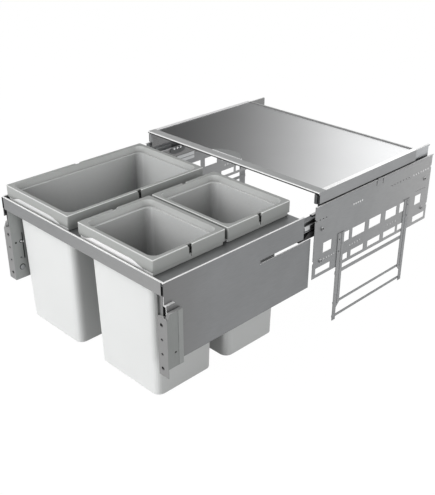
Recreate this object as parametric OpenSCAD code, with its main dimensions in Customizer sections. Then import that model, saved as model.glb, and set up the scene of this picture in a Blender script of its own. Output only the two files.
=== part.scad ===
// Pull-out waste bin unit for a kitchen base cabinet, drawn with its drawer fully open.
// X runs across the cabinet, Y into it, Z up. The origin lies on the cabinet floor,
// midway between the side plates and in line with their front edges.

/* [Cabinet and overall] */
// Clear width between the cabinet walls
clear_w = 568; // [540:1:640]
// Height of the drawer's top edge above the cabinet floor
drawer_top = 310; // [300:1:340]
// How far the drawer's front stands ahead of the side plates when it is open
open_reach = 431; // [425:1:470]

/* [Side plates] */
// Sheet thickness of the side plates
plate_t = 1.25; // [1:0.05:1.5]
// Length of a side plate
plate_len = 462; // [440:1:500]
// Height of a side plate
plate_h = 178; // [170:1:190]
// Rise of the plate above the drawer's top edge
plate_rise = 14; // [12:0.5:16]
// Stand-off between a side plate and the cabinet wall
seat_h = 3; // [2:0.25:4]
// Radius of a stand-off seat
seat_r = 4.5; // [4:0.25:7]
// Radius of the fixing screw holes
fix_r = 2.6; // [2:0.1:3]
// Distance of the fixing holes from the plate's ends
fix_inset = 26; // [24:1:28]
// Height of the lower fixing holes above the plate's lower edge
fix_low = 39; // [36:0.5:42]
// Height between the two rows of fixing holes
fix_rise = 80; // [70:1:100]
// Height of the upper row of windows
upper_window_h = 25; // [15:1:28]
// Height of the lower row of windows
lower_window_h = 16; // [10:1:20]
// Radius of the small holes in rows
row_hole_r = 1.9; // [1:0.1:2.2]
// Width of the slits in the top edge
top_slit_w = 2.4; // [1:0.1:4]
// Depth of the slits in the top edge
top_slit_h = 17; // [10:1:20]

/* [Floor legs] */
// Width of a leg's upper strip
leg_w = 23; // [18:1:26]
// Width of a leg's foot
foot_w = 12; // [9:0.5:14]
// Sheet thickness of the legs
leg_t = 1.5; // [1.2:0.1:2]
// Distance of the front leg behind the plate's front edge
leg_inset = 86; // [80:1:95]
// Distance between the outer edges of the two legs
leg_span = 289; // [270:1:300]
// Overlap of the legs on the side plates
leg_lap = 86; // [70:1:100]
// Height of the wide part's lower end above the floor
foot_h = 44; // [30:1:60]
// Height of the tie bar
tie_h = 9; // [6:0.5:12]
// Drop of the tie bar below the side plate
tie_drop = 12; // [8:0.5:16]
// Radius of the wire stays
stay_r = 2.8; // [1.5:0.1:3]
// Height of the lower stay above the floor
stay_low = 7; // [5:0.5:10]
// Distance between the two stays
stay_gap = 38; // [28:1:44]

/* [Drawer carrier] */
// Gap between the drawer carrier and the cabinet wall on each side
drawer_gap = 8; // [8:0.5:30]
// Length of the upper part of the carrier
drawer_len = 400; // [390:1:420]
// Sheet thickness of the side panels
panel_t = 1.5; // [1.2:0.1:2]
// Height of the side panels
panel_h = 183; // [150:1:200]
// Length of the lower part of the side panels
panel_len = 425; // [410:1:440]
// Height of the front band
band_h = 30; // [24:1:36]
// Depth of the folded top of the front band
hem_d = 4; // [3:0.5:5]
// Width of the open slot between the band's end and the side panel
band_slot = 5.5; // [3:0.5:8]
// Depth of the deck below the carrier's top edge
deck_drop = 8; // [6:0.5:9]
// Sheet thickness of the deck
deck_t = 1.2; // [1:0.1:1.5]
// Height of the rear band
rear_h = 32; // [20:1:40]
// Height of the passage in a side panel for the rail support
passage_h = 7; // [6:0.5:9]
// Depth of the passage below the carrier's top edge
passage_drop = 53; // [51:0.5:56]
// Distance of the passage behind the drawer's front
passage_start = 263; // [200:1:280]
// Depth of the panel's front hook below the top edge
hook_drop = 47; // [44:1:50]
// Length of the front hook
hook_len = 23; // [15:1:30]
// Reach of the front hook out from the panel
hook_reach = 6; // [4:0.5:7]

/* [Door brackets] */
// Width of a door bracket
bracket_w = 27; // [25:0.5:28]
// Height of a door bracket
bracket_h = 134; // [125:1:140]
// Depth of a door bracket's top below the carrier's top edge
bracket_drop = 76; // [72:1:80]
// Sheet thickness of a door bracket
bracket_t = 1.5; // [1.2:0.1:2]
// Depth of the outer cheek
outer_cheek_d = 40; // [38:1:50]
// Height of the outer cheek
outer_cheek_h = 123; // [110:1:128]
// Depth of the inner cheek
inner_cheek_d = 38; // [34:1:39]
// Distance of the door screw holes from the bracket's outer edge
door_hole_inset = 16; // [12:0.5:18]
// Distance between the upper and the lower door screw hole
door_hole_pitch = 99; // [90:3:102]
// Radius of the door screw holes
door_hole_r = 3.6; // [2:0.1:4]
// Radius of the two guide holes between them
guide_hole_r = 2.4; // [1:0.1:3]
// Radius of the adjusting cams
cam_r = 6; // [5:0.5:7]
// Radius of the clamping screws
clamp_r = 4; // [3:0.5:5]

/* [Bins] */
// Width of a bin over its collar
bin_w = 234; // [200:1:234]
// Length of a small bin over its collar
small_len = 190.5; // [170:0.5:190.5]
// Gap between the two small bins
small_gap = 7; // [6:0.5:10]
// Distance of the collars behind the drawer's front
bin_front = 11; // [10:0.5:12]
// Distance of the large bin from the carrier's left side
left_margin = 8; // [7:0.5:8.5]
// Distance of the small bins from the carrier's right side
right_margin = 40.5; // [38:0.5:44]
// Height of a collar above the carrier's top edge
collar_h = 26.5; // [24:0.5:30]
// Width of the collar's top band
collar_band = 9.5; // [9:0.5:12]
// Wall of the collar's outer skirt
collar_wall = 2.4; // [1.8:0.1:2.6]
// Wall of the collar's inner lip and its top band
lip_wall = 2; // [1.5:0.1:2.4]
// Corner radius of the collar's outside
collar_corner = 3; // [2.5:0.25:4]
// Corner radius of the collar's opening
opening_corner = 19; // [16:0.5:22]
// Height of the arched cut-out in the collar
arch_h = 8.5; // [6:0.5:10]
// Reach of the bin's lip out through the arched cut-out
lip_proud = 0.8; // [0.4:0.1:1.2]
// Width of the notch in the collar's long sides
notch_w = 14; // [8:0.5:18]
// Depth of the bin's bottom below the carrier's top edge
bin_depth = 306; // [250:1:306]
// Wall of a bin
bin_wall = 2.5; // [2:0.1:2.8]
// Corner radius of a bin's body
body_corner = 18; // [14:0.5:20]
// Set-back of a bin's body from its collar, across, at the rim
rim_inset_x = 15; // [12:0.5:16]
// Set-back of a bin's body from its collar, along, at the rim
rim_inset_y = 12; // [12:0.5:14]
// Draft of each body wall over its height
body_draft = 5.5; // [3:0.5:7]
// Height of the bin's rim flange above the carrier's top edge
rim_h = 10.5; // [9:0.5:12]

/* [Slides] */
// Height of the inner rail
rail_h = 32; // [28:1:34]
// Depth of the rails' centre line below the carrier's top edge
rail_drop = 28; // [27:0.5:29]
// Sheet thickness of the rails
rail_t = 1.25; // [1:0.05:1.5]
// Depth of a rail's flanges
rail_flange = 7; // [6:0.5:7.5]
// Length of the middle rail
middle_rail_len = 390; // [360:1:400]
// Length of the outer rail
outer_rail_len = 448; // [430:1:455]
// Width over the inner and the outer rail
slide_w = 16; // [15.5:0.1:16.5]
// Bore of the rails' fixing rivets
rivet_r = 3; // [2:0.1:3.5]

/* [Cover shelf] */
// Gap between the cover's side profiles and the cabinet wall
cover_gap = 3; // [3:0.25:10]
// Length of the cover
cover_len = 375; // [360:1:380]
// Height of the cover's top above the carrier's top edge
cover_top = 46; // [44:0.5:50]
// Distance of the cover behind the side plates' front edge
cover_start = 7; // [5:0.5:12]
// Height of the cover's side profiles
profile_h = 28; // [27:0.5:29]
// Width of the cover's side profiles
profile_w = 12; // [11.5:0.25:13]
// Sheet thickness of the cover
cover_t = 1.2; // [0.9:0.1:1.5]
// Depth of the front trim
trim_d = 24; // [18:1:28]
// Height of the front trim
trim_h = 6.5; // [5:0.5:8]
// Depth of the rear lip
rear_lip_d = 4; // [3:0.5:6]
// Length of the finger grip
grip_len = 96; // [80:1:110]
// Depth of the finger grip
grip_d = 27; // [20:1:30]
// Height of the finger grip
grip_h = 1; // [0.5:0.1:2.5]
// Shift of the finger grip to the left of the centre
grip_shift = 20; // [0:1:30]
// Length of the fixed rails under the cover
cover_rail_len = 432; // [420:1:440]

/* [Hidden] */
// Overrun of every cut
over = 1;
// Play between pieces that move on each other
play = 0.3;
// Play of the door brackets to the cabinet wall
wall_play = 0.5;
// Smoothness of holes, of corners and of corners inside hulls
hole_fn = 32;
corner_fn = 48;
hull_fn = 32;
// Colours
zinc = "#96989a";
dark_zinc = "#7c7e80";
steel = "#a4a6a8";
light_plastic = "#e0e2e0";
grey_plastic = "#a8aaa8";
black_plastic = "#1c1c1d";
// Places worked out from the driving sizes
half_clear = clear_w / 2;
drawer_w = clear_w - 2 * drawer_gap;
cover_w = clear_w - 2 * cover_gap;
plate_out = half_clear - seat_h;
plate_in = plate_out - plate_t;
plate_top = drawer_top + plate_rise;
plate_low = plate_top - plate_h;
leg_h = plate_low + leg_lap;
panel_out = drawer_w / 2;
panel_in = panel_out - panel_t;
deck_z = drawer_top - deck_drop;
large_x = -panel_out + left_margin + bin_w / 2;
small_x = panel_out - right_margin - bin_w / 2;
small_rear_y = bin_front + small_len + small_gap;
large_len = 2 * small_len + small_gap;
cover_z = drawer_top + cover_top;
profile_out = cover_w / 2;
profile_in = profile_out - profile_w;
rail_z = drawer_top - rail_drop;
outer_rail_in = panel_in - slide_w;
// Windows of the side plates: start and end as shares of the plate's length
upper_window_shares = [[0.074, 0.141], [0.238, 0.283], [0.307, 0.415], [0.450, 0.554],
  [0.595, 0.696], [0.724, 0.767], [0.870, 0.930]];
lower_window_shares = [[0.024, 0.139], [0.236, 0.281], [0.307, 0.415], [0.450, 0.562],
  [0.592, 0.704], [0.722, 0.768], [0.868, 0.984]];
// Lower edges of the window rows, as shares of the plate's height
upper_window_share = 0.315;
lower_window_share = 0.045;
// Rows of small holes: start and end along the plate, height above its lower edge
hole_row_shares = [[0.013, 0.085, 0.80], [0.300, 0.370, 0.80], [0.626, 0.784, 0.80],
  [0.830, 0.968, 0.80], [0.296, 0.380, 0.22], [0.088, 0.168, 0.22], [0.626, 0.700, 0.22]];
hole_row_counts = [4, 5, 7, 6, 5, 5, 4];
// Slits in the plate's top edge, and the notches in its ends
top_slit_shares = [0.483, 0.536];
end_notch_shares = [0.22, 0.80];
end_notch_h = 2 * seat_h;
end_notch_d = seat_h;
// Long slit near the plate's rear end
rear_slit_shares = [0.872, 0.961];
rear_slit_share = 0.52;
rear_slit_h = plate_t;
// Seat of the legs: groove along a leg
groove_w = 2 * leg_t;
groove_share = 0.55;
// Holes that join a leg to its plate
leg_hole_shares = [0.80, 0.93];
// Bracket: top of the outer cheek above the bracket, places of holes and adjusters
cheek_rise = 10;
bracket_round = bracket_w / 4;
cam_y = outer_cheek_d / 2;
tongue_set_back = 3 * bracket_t;
tongue_share = 0.42;
cam_share = 0.70;
clamp_share = 0.22;
web_hole_share = 0.40;
// Front edge of the panel's lower part
panel_set_back = 4 * bracket_t;
// Bins: skirt under the rim flange and thickness of the flange
skirt_wall = bin_wall;
rim_t = bin_wall;
deck_inset = 9;
// Arched cut-out of a collar: places along the front as shares of its width
arch_shares = [0.11, 0.20, 0.70, 0.88];
// Notch of a collar: share of its height, and half its width there as a share of notch_w
notch_shares = [[0, 0.25], [0.25, 0.17], [0.50, 0.14], [0.68, 0.18], [0.82, 0.27], [0.93, 0.40],
  [1, 0.50]];
// Rails: start of each rail, measured from the plates' front edge
rail_gap = 4;
end_gap = 8;
middle_rail_lead = 250;
inner_rail_start = inner_cheek_d + rail_gap - open_reach;
inner_rail_len = drawer_len - inner_cheek_d - 1.5 * rail_gap;
outer_rail_start = end_gap;
middle_rail_start = middle_rail_lead - open_reach;
middle_h = rail_h - 2 * rail_t - 6 * play;
stop_len = 12;
stop_lead = 32;
stop_h = 16;
support_share = 0.49;
support_drop = passage_drop + passage_h / 2;
rivet_shares = [0.12, 0.5, 0.88];
// Fixed rails of the cover: they start behind the nose of the front trim
cover_rail_start = cover_start + trim_h;
cover_rail_w = 4.5;
cover_rail_foot = 2;
bead_h = 4;
trim_round = trim_h / 2;
// End block of the cover's side profile, under the front trim
end_block_w = 7;
end_block_d = 5.5;

module round_rect(w, d, r) {
  square([w - 2 * r, d], center = true);
  square([w, d - 2 * r], center = true);
  for (sx = [-1, 1], sy = [-1, 1])
    translate([sx * (w / 2 - r), sy * (d / 2 - r)])
      circle(r, $fn = corner_fn);
}

// Places children on the right, or mirrored on the left
module on_side(left) {
  mirror([left ? 1 : 0, 0, 0])
    children();
}

// A sheet whose outline is drawn in Y and Z, with its outer face at x = face
module side_sheet(face, t) {
  translate([face - t, 0, 0])
    rotate([90, 0, 90])
      linear_extrude(t)
        children();
}

// A sheet whose outline is drawn in X and Z, with its front face at y = face
module front_sheet(face, t) {
  translate([0, face + t, 0])
    rotate([90, 0, 0])
      linear_extrude(t)
        children();
}

// A hole along X
module cross_hole(x0, x1, y, z, r) {
  translate([x0 - over, y, z])
    rotate([0, 90, 0])
      cylinder(h = x1 - x0 + 2 * over, r = r, $fn = hole_fn);
}

module plate_windows(shares, low, h) {
  for (s = shares)
    translate([s[0] * plate_len, low])
      square([(s[1] - s[0]) * plate_len, h]);
}

module plate_outline() {
  difference() {
    translate([0, plate_low])
      square([plate_len, plate_h]);
    plate_windows(upper_window_shares, plate_low + upper_window_share * plate_h, upper_window_h);
    plate_windows(lower_window_shares, plate_low + lower_window_share * plate_h, lower_window_h);
    for (i = [0 : len(hole_row_shares) - 1], k = [0 : hole_row_counts[i] - 1])
      let (row = hole_row_shares[i], step = (row[1] - row[0]) / (hole_row_counts[i] - 1))
        translate([(row[0] + k * step) * plate_len, plate_low + row[2] * plate_h])
          circle(row_hole_r, $fn = hole_fn);
    for (s = top_slit_shares)
      translate([s * plate_len, plate_top - top_slit_h])
        square([top_slit_w, top_slit_h + over]);
    for (s = end_notch_shares, e = [0, 1])
      translate([e * (plate_len - end_notch_d) - over * (1 - e), plate_low + s * plate_h])
        square([end_notch_d + over, end_notch_h]);
    translate([rear_slit_shares[0] * plate_len, plate_low + rear_slit_share * plate_h])
      square([(rear_slit_shares[1] - rear_slit_shares[0]) * plate_len, rear_slit_h]);
  }
}

module fix_places() {
  for (y = [fix_inset, plate_len - fix_inset], z = [0, fix_rise])
    translate([plate_out, y, plate_low + fix_low + z])
      rotate([0, 90, 0])
        children();
}

module side_plate() {
  color(zinc)
    difference() {
      union() {
        side_sheet(plate_out, plate_t)
          plate_outline();
        difference() {
          translate([plate_in, 0, plate_top - plate_t])
            cube([half_clear - plate_in, plate_len, plate_t]);
          for (s = top_slit_shares)
            translate([plate_in - over, s * plate_len, plate_top - top_slit_h])
              cube([half_clear, top_slit_w, top_slit_h + over]);
        }
        fix_places()
          cylinder(h = seat_h, r1 = seat_r, r2 = seat_r - play, $fn = hole_fn);
      }
      fix_places()
        translate([0, 0, -plate_t - over])
          cylinder(h = seat_h + plate_t + 2 * over, r = fix_r, $fn = hole_fn);
    }
}

// One leg: a wide strip on the plate's outer face, stepping in to a narrow foot.
// rear is 0 for the front leg and 1 for the rear one, which is its mirror image.
module floor_leg(rear) {
  start = leg_inset + rear * leg_span;
  color(zinc)
    difference() {
      translate([0, start, 0])
        mirror([0, rear, 0])
          side_sheet(plate_out + leg_t, leg_t)
            difference() {
              polygon([[0, 0], [foot_w, 0], [foot_w, foot_h - foot_w], [leg_w, foot_h],
                [leg_w, leg_h], [0, leg_h]]);
              for (s = leg_hole_shares)
                translate([foot_w / 2, s * leg_h])
                  circle(row_hole_r, $fn = hole_fn);
            }
      translate([plate_out + leg_t / 2, start + (rear == 1 ? -1 : 1) * groove_share * leg_w
        - groove_w / 2, foot_h])
        cube([leg_t, groove_w, leg_h]);
    }
}

module leg_tie() {
  color(zinc)
    translate([plate_in, leg_inset, plate_low - tie_drop - tie_h])
      cube([plate_t, leg_span, tie_h]);
}

// Two wire stays with flattened ends that seat on the legs' inner faces
module leg_stays() {
  pad = 2 * stay_r;
  color(zinc)
    for (k = [0, 1])
      translate([plate_out - stay_r, leg_inset + foot_w / 2, stay_low + k * stay_gap]) {
        rotate([-90, 0, 0])
          cylinder(h = leg_span - foot_w, r = stay_r, $fn = hole_fn);
        for (e = [0, 1])
          translate([0, e * (leg_span - foot_w) - pad / 2, -pad / 2])
            cube([stay_r, pad, pad]);
      }
}

// Angle that carries the outer rail: on the plate, through the panel's passage, up the rail
module rail_support() {
  start = support_share * plate_len;
  length = outer_rail_start + outer_rail_len - start - end_gap;
  z = drawer_top - support_drop - rail_t / 2;
  inner = outer_rail_in - rail_t;
  color(dark_zinc)
    difference() {
      union() {
        translate([inner, start, z])
          cube([plate_in - inner, length, rail_t]);
        translate([plate_in - rail_t, start, z - rail_h / 2])
          cube([rail_t, length, rail_h / 2 + rail_t]);
        translate([inner, start, z])
          cube([rail_t, length, rail_z + rail_h / 4 - z]);
      }
      for (s = rivet_shares)
        cross_hole(inner, outer_rail_in, start + s * length, rail_z, rivet_r);
      for (s = rivet_shares)
        cross_hole(plate_in - rail_t, plate_in, start + s * length, z - rail_h / 4, rivet_r);
    }
}

// C-shaped rail: web at x = web, flanges reaching out by dir
module c_rail(web, dir, start, length, h) {
  translate([0, start + length, rail_z])
    rotate([90, 0, 0])
      linear_extrude(length)
        union() {
          translate([dir > 0 ? web : web - rail_t, -h / 2])
            square([rail_t, h]);
          for (s = [-1, 1])
            translate([dir > 0 ? web : web - rail_flange,
              s > 0 ? h / 2 - rail_t : -h / 2])
              square([rail_flange, rail_t]);
        }
}

module outer_rail() {
  start = support_share * plate_len;
  length = outer_rail_start + outer_rail_len - start - end_gap;
  color(steel)
    difference() {
      c_rail(outer_rail_in, 1, outer_rail_start, outer_rail_len, rail_h);
      for (s = rivet_shares)
        cross_hole(outer_rail_in, outer_rail_in + rail_t, start + s * length, rail_z, rivet_r);
    }
}

// Plastic stop under the front end of the outer rail, clear of the inner rail's path
module rail_stop() {
  color(black_plastic)
    translate([outer_rail_in, outer_rail_start, rail_z - rail_h / 2 - stop_h])
      union() {
        cube([rail_flange, stop_len, stop_h]);
        translate([0, -stop_lead, 0])
          cube([slide_w - 2 * play, stop_lead + stop_len, stop_h - 2 * play]);
      }
}

// Middle rail: a hollow double track that runs in both other rails
module middle_rail() {
  inner = outer_rail_in + rail_t + play;
  outer = panel_in - rail_t - play;
  w = outer - inner;
  waist = rail_t + play;
  color(steel)
    translate([inner, middle_rail_start + middle_rail_len, rail_z])
      rotate([90, 0, 0])
        linear_extrude(middle_rail_len)
          difference() {
            translate([0, -middle_h / 2])
              square([w, middle_h]);
            translate([rail_t, -middle_h / 2 + rail_t])
              square([w / 2 - 1.5 * rail_t, middle_h - 2 * rail_t]);
            translate([w / 2 + rail_t / 2, -middle_h / 2 + rail_t + waist])
              square([w / 2 + over, middle_h - 2 * rail_t - 2 * waist]);
          }
}

module inner_rail() {
  color(steel)
    c_rail(panel_in, -1, inner_rail_start, inner_rail_len, rail_h);
}

// Fixed rail of the cover: foot on the plate, web and a bead that the profile slides on
module cover_rail() {
  bead_top = cover_z - 2 * cover_t - play;
  web_x = profile_in + cover_t + 2 * cover_rail_foot;
  color(steel)
    translate([0, cover_rail_start + cover_rail_len, 0])
      rotate([90, 0, 0])
        linear_extrude(cover_rail_len)
          union() {
            translate([web_x, drawer_top + cover_rail_foot])
              square([plate_t, bead_top - drawer_top - cover_rail_foot]);
            translate([web_x, drawer_top + cover_rail_foot])
              square([plate_in - web_x, plate_t]);
            translate([web_x, bead_top - bead_h])
              square([cover_rail_w, bead_h]);
          }
}

// Side profile of the cover: a channel open below, let in under the front trim
module cover_profile() {
  lead = trim_round + cover_t;
  color(steel)
    union() {
      difference() {
        translate([0, cover_start + cover_len, cover_z])
          rotate([90, 0, 0])
            linear_extrude(cover_len - lead)
              union() {
                translate([profile_in, -2 * cover_t])
                  square([profile_w, 2 * cover_t]);
                translate([profile_out - cover_t, -profile_h])
                  square([cover_t, profile_h]);
                translate([profile_in, -profile_h / 2])
                  square([cover_t, profile_h / 2]);
              }
        translate([profile_in - over, cover_start, cover_z - cover_t])
          cube([profile_w + 2 * over, trim_d, cover_t + over]);
      }
      translate([profile_in, cover_start, cover_z - profile_h])
        difference() {
          cube([end_block_w, end_block_d, profile_h - trim_h]);
          translate([2 * cover_t, cover_t, -over])
            cube([end_block_w, end_block_d, profile_h]);
        }
    }
}

module cover_sheet() {
  color(steel)
    translate([-profile_in, cover_start + trim_d / 2, cover_z - 2 * cover_t])
      cube([2 * profile_in, cover_len - trim_d / 2 - rear_lip_d, cover_t]);
}

// Rolled front edge: rounded nose, flat top behind it
module cover_front_trim() {
  color(steel)
    translate([-profile_out, cover_start, cover_z - trim_h])
      rotate([90, 0, 90])
        linear_extrude(2 * profile_out)
          difference() {
            union() {
              translate([trim_round, trim_round])
                circle(trim_round, $fn = hole_fn);
              translate([trim_round, trim_h - cover_t])
                square([trim_d - trim_round, cover_t]);
              translate([trim_round, 0])
                square([trim_round, trim_h]);
            }
            translate([trim_round + cover_t, -over])
              square([trim_round, trim_h - cover_t + over]);
          }
}

module cover_rear_lip() {
  color(steel)
    translate([-profile_in, cover_start + cover_len - rear_lip_d, cover_z - trim_h])
      cube([2 * profile_in, rear_lip_d, trim_h + cover_t]);
}

// Lens-shaped finger grip behind the front trim
module cover_grip() {
  lens_r = (grip_len * grip_len / 4 + grip_d * grip_d) / (2 * grip_d);
  color(steel)
    translate([-grip_shift, cover_start + trim_d, cover_z - cover_t])
      linear_extrude(grip_h + cover_t)
        intersection() {
          translate([0, grip_d - lens_r])
            circle(lens_r, $fn = 3 * corner_fn);
          translate([-grip_len / 2, 0])
            square([grip_len, grip_d]);
        }
}

// Side panel of the drawer, with the rear passage and the front hook
module carrier_panel() {
  y0 = -open_reach;
  color(dark_zinc)
    difference() {
      union() {
        side_sheet(panel_out, panel_t)
          polygon([
            [y0, drawer_top],
            [y0 + drawer_len, drawer_top],
            [y0 + drawer_len, drawer_top - passage_drop],
            [y0 + passage_start, drawer_top - passage_drop],
            [y0 + passage_start, drawer_top - passage_drop - passage_h],
            [y0 + panel_len, drawer_top - passage_drop - passage_h],
            [y0 + panel_len, drawer_top - panel_h],
            [y0 + panel_set_back, drawer_top - panel_h],
            [y0 + panel_set_back, drawer_top - hook_drop - panel_t],
            [y0, drawer_top - hook_drop - panel_t]]);
        translate([panel_in - panel_t, y0, drawer_top - panel_t])
          cube([2 * panel_t, drawer_len, panel_t]);
        translate([panel_in, y0, drawer_top - hook_drop - panel_t])
          cube([panel_t + hook_reach, hook_len, panel_t]);
        translate([panel_in, y0 + passage_start,
          drawer_top - passage_drop - passage_h - panel_t])
          cube([2 * panel_t, drawer_len - passage_start, panel_t]);
      }
      cross_hole(panel_in, panel_out, y0 + cam_y, bracket_z(cam_share), cam_r);
      cross_hole(panel_in, panel_out, y0 + cam_y, bracket_z(clamp_share), clamp_r);
    }
}

// Height of a place on a door bracket, as a share of the bracket's height
function bracket_z(share) = drawer_top - bracket_drop - bracket_h * (1 - share);

// Front band with a folded top and a return behind each end, short of the side panels
module carrier_front_band() {
  y0 = -open_reach;
  half = panel_in - panel_t;
  face = panel_in - band_slot;
  color(zinc)
    union() {
      translate([-face, y0, drawer_top - band_h])
        cube([2 * face, panel_t, band_h]);
      translate([-half, y0, drawer_top - panel_t])
        cube([2 * half, hem_d, panel_t]);
      for (side = [-1, 1])
        translate([side * (face - panel_t / 2) - panel_t / 2, y0, drawer_top - band_h])
          cube([panel_t, hook_len, band_h - deck_drop - deck_t]);
    }
}

module carrier_rear_band() {
  color(zinc)
    translate([-outer_rail_in + end_gap, drawer_len - open_reach - panel_t, deck_z - rear_h])
      cube([2 * outer_rail_in - 2 * end_gap, panel_t, rear_h - deck_t]);
}

// Hole in the deck for a bin of a given place and length
module deck_opening(x, y, length) {
  translate([x, y + length / 2])
    round_rect(bin_w - 2 * deck_inset, length - 2 * deck_inset, body_corner);
}

module carrier_deck() {
  color(dark_zinc)
    translate([0, -open_reach, deck_z - deck_t])
      linear_extrude(deck_t)
        difference() {
          translate([-panel_in, panel_t])
            square([2 * panel_in, drawer_len - panel_t]);
          deck_opening(large_x, bin_front, large_len);
          deck_opening(small_x, bin_front, small_len);
          deck_opening(small_x, small_rear_y, small_len);
        }
}

// Door bracket: front flange with holes, an inner and an outer cheek behind it, a sloping
// top from the flange up to the outer cheek, and a tongue set back above the flange
module door_bracket() {
  y0 = -open_reach;
  outer = half_clear - wall_play;
  inner = outer - bracket_w;
  low = drawer_top - bracket_drop - bracket_h;
  top = low + bracket_h;
  ridge = top + cheek_rise;
  hole_x = outer - door_hole_inset;
  color(dark_zinc)
    difference() {
      union() {
        front_sheet(y0, bracket_t)
          union() {
            translate([inner, low])
              square([bracket_w, bracket_h - bracket_round]);
            translate([inner, low])
              square([bracket_w - bracket_round, bracket_h]);
            translate([outer - bracket_round, top - bracket_round])
              circle(bracket_round, $fn = corner_fn);
          }
        side_sheet(outer, bracket_t)
          polygon([[y0, ridge - outer_cheek_h], [y0, top - bracket_round],
            [y0 + bracket_round, ridge], [y0 + outer_cheek_d, ridge],
            [y0 + outer_cheek_d, ridge - outer_cheek_h]]);
        side_sheet(outer, outer - panel_out)
          polygon([[y0, top - bracket_round], [y0 + bracket_round, ridge],
            [y0 + outer_cheek_d, ridge], [y0 + outer_cheek_d, ridge - bracket_t],
            [y0 + bracket_round + bracket_t, ridge - bracket_t],
            [y0 + 1.5 * bracket_t, top - bracket_round]]);
        translate([inner, y0, low])
          cube([bracket_t, inner_cheek_d, bracket_h + bracket_drop - band_h]);
        translate([inner, y0 + tongue_set_back, top - bracket_round])
          cube([tongue_share * bracket_w, bracket_t, bracket_round + bracket_drop - band_h]);
        translate([inner, y0, top - bracket_t])
          cube([panel_in - inner - band_slot / 2, tongue_set_back + bracket_t, bracket_t]);
      }
      for (k = [0 : 3])
        translate([hole_x, y0 - over, low + (bracket_h - door_hole_pitch) / 2
          + k * door_hole_pitch / 3])
          rotate([-90, 0, 0])
            cylinder(h = bracket_t + 2 * over,
              r = k == 0 || k == 3 ? door_hole_r : guide_hole_r, $fn = hole_fn);
      cross_hole(inner, inner + bracket_t, y0 + cam_y, bracket_z(clamp_share), clamp_r);
      cross_hole(inner, outer, y0 + cam_y, bracket_z(web_hole_share), guide_hole_r);
    }
}

// Adjusting cam and clamping screw between the bracket's cheeks
module bracket_adjusters() {
  outer = half_clear - wall_play;
  inner = outer - bracket_w;
  color(steel)
    union() {
      translate([inner + bracket_t, cam_y - open_reach, bracket_z(cam_share)])
        rotate([0, 90, 0])
          cylinder(h = bracket_w - 2 * bracket_t, r = cam_r, $fn = hole_fn);
      translate([inner, cam_y - open_reach, bracket_z(clamp_share)])
        rotate([0, 90, 0])
          cylinder(h = bracket_w - bracket_t, r = clamp_r, $fn = hole_fn);
      translate([inner - bracket_t, cam_y - open_reach, bracket_z(clamp_share)])
        rotate([0, 90, 0])
          cylinder(h = bracket_t, r = cam_r, $fn = hole_fn);
    }
}

// Tapered solid from the rim down to the floor of a bin, drawn inset by wall
module bin_taper(length, wall, top, low) {
  hull()
    for (e = [[top, 0], [low, body_draft]])
      translate([0, 0, e[0]])
        linear_extrude(play)
          for (sx = [-1, 1], sy = [-1, 1])
            translate([sx * (bin_w / 2 - rim_inset_x - e[1] - body_corner),
              sy * (length / 2 - rim_inset_y - e[1] - body_corner)])
              circle(body_corner - wall, $fn = hull_fn);
}

// Bin: tapered bucket, rim flange and a skirt that stands on the deck
module bin(x, y, length) {
  rim_w = bin_w - 2 * collar_wall - 2 * play;
  rim_len = length - 2 * collar_wall - 2 * play;
  skirt_low = play - deck_drop;
  color(light_plastic)
    translate([x, y + length / 2 - open_reach, drawer_top])
      difference() {
        union() {
          bin_taper(length, 0, rim_h - play, -bin_depth);
          translate([0, 0, rim_h - rim_t])
            linear_extrude(rim_t)
              round_rect(rim_w, rim_len, collar_corner);
          translate([0, 0, skirt_low])
            linear_extrude(rim_h - skirt_low)
              difference() {
                round_rect(rim_w, rim_len, collar_corner);
                round_rect(rim_w - 2 * skirt_wall, rim_len - 2 * skirt_wall, collar_corner);
              }
          for (s = [0, 1])
            mirror([0, s, 0])
              translate([-bin_w / 2, skirt_wall / 2 - rim_len / 2, 0])
                rotate([90, 0, 0])
                  linear_extrude(skirt_wall / 2 + collar_wall + play + lip_proud)
                    arch_outline(play);
        }
        bin_taper(length, bin_wall, rim_h + over, bin_wall - bin_depth);
      }
}

// Outline of the arched cut-out in the front and rear of a collar: a slanted step on the
// left, a straight top and a curved run down on the right, drawn smaller by gap
module arch_outline(gap) {
  steps = 8;
  run = arch_shares[3] - arch_shares[2];
  left = 4 * gap;
  polygon(concat(
    [[arch_shares[3] * bin_w - gap, -over], [arch_shares[0] * bin_w + left, -over],
      [arch_shares[0] * bin_w + left, 0], [arch_shares[1] * bin_w + left, arch_h - gap]],
    [for (i = [0 : steps])
      [(arch_shares[2] + run * i / steps) * bin_w - gap,
        arch_h * cos(90 * i / steps) - gap]]));
}

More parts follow.
